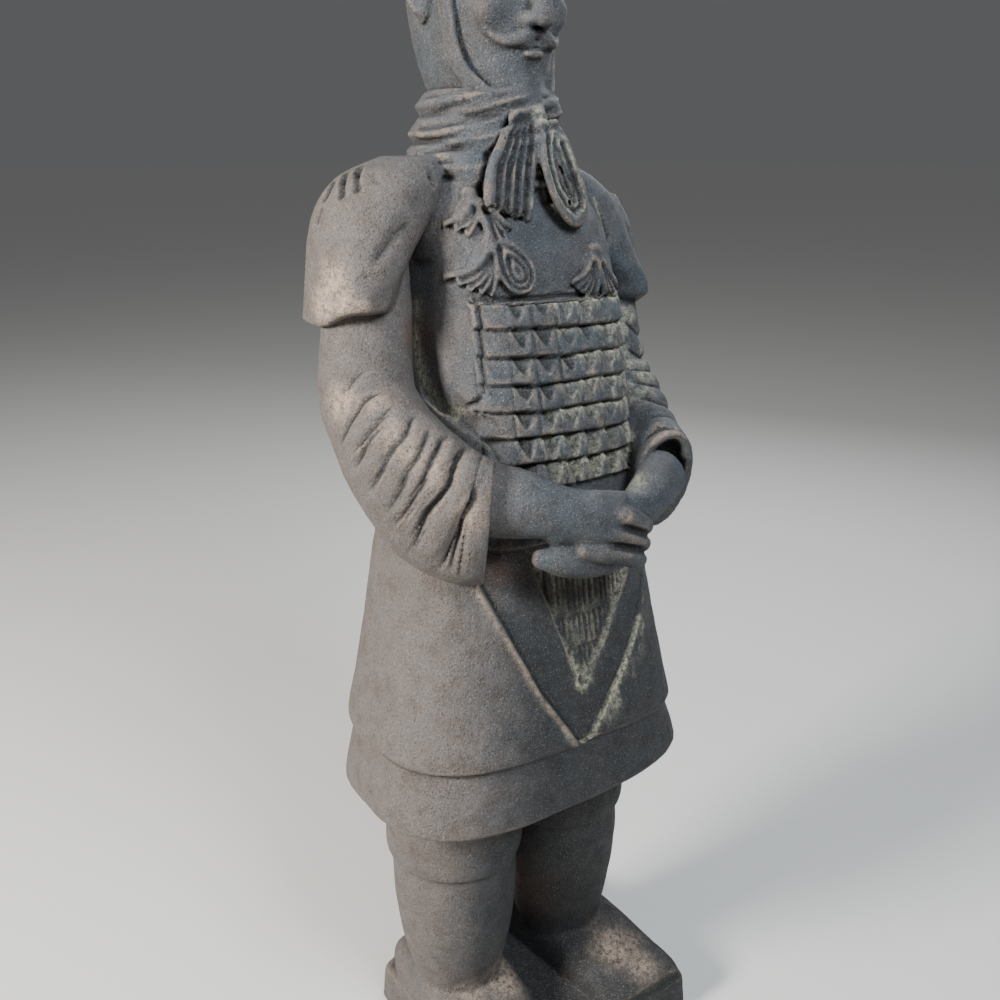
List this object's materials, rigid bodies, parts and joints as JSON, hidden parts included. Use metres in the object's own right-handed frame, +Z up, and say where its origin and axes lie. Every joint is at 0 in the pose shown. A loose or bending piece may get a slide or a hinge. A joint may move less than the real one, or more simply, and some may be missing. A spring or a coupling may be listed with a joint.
{
  "type": "terracotta warrior statue",
  "caption": "Standing robed and armoured warrior figure in fired clay, hands laid together on the belly, cast in one with a low rectangular base block.",
  "frame": {"origin": "middle of the flat underside of the base", "axes": "+Z up the figure, the figure faces -Y, its right hand is on the -X side"},
  "size_m": [0.095, 0.076, 0.3099],
  "materials": {
    "fired_clay": "matte, smoked grey fired clay with tan wear and cream pigment in the recesses"
  },
  "bodies": {
    "root": {"warrior_statue": "fired_clay"}
  },
  "joints": []
}
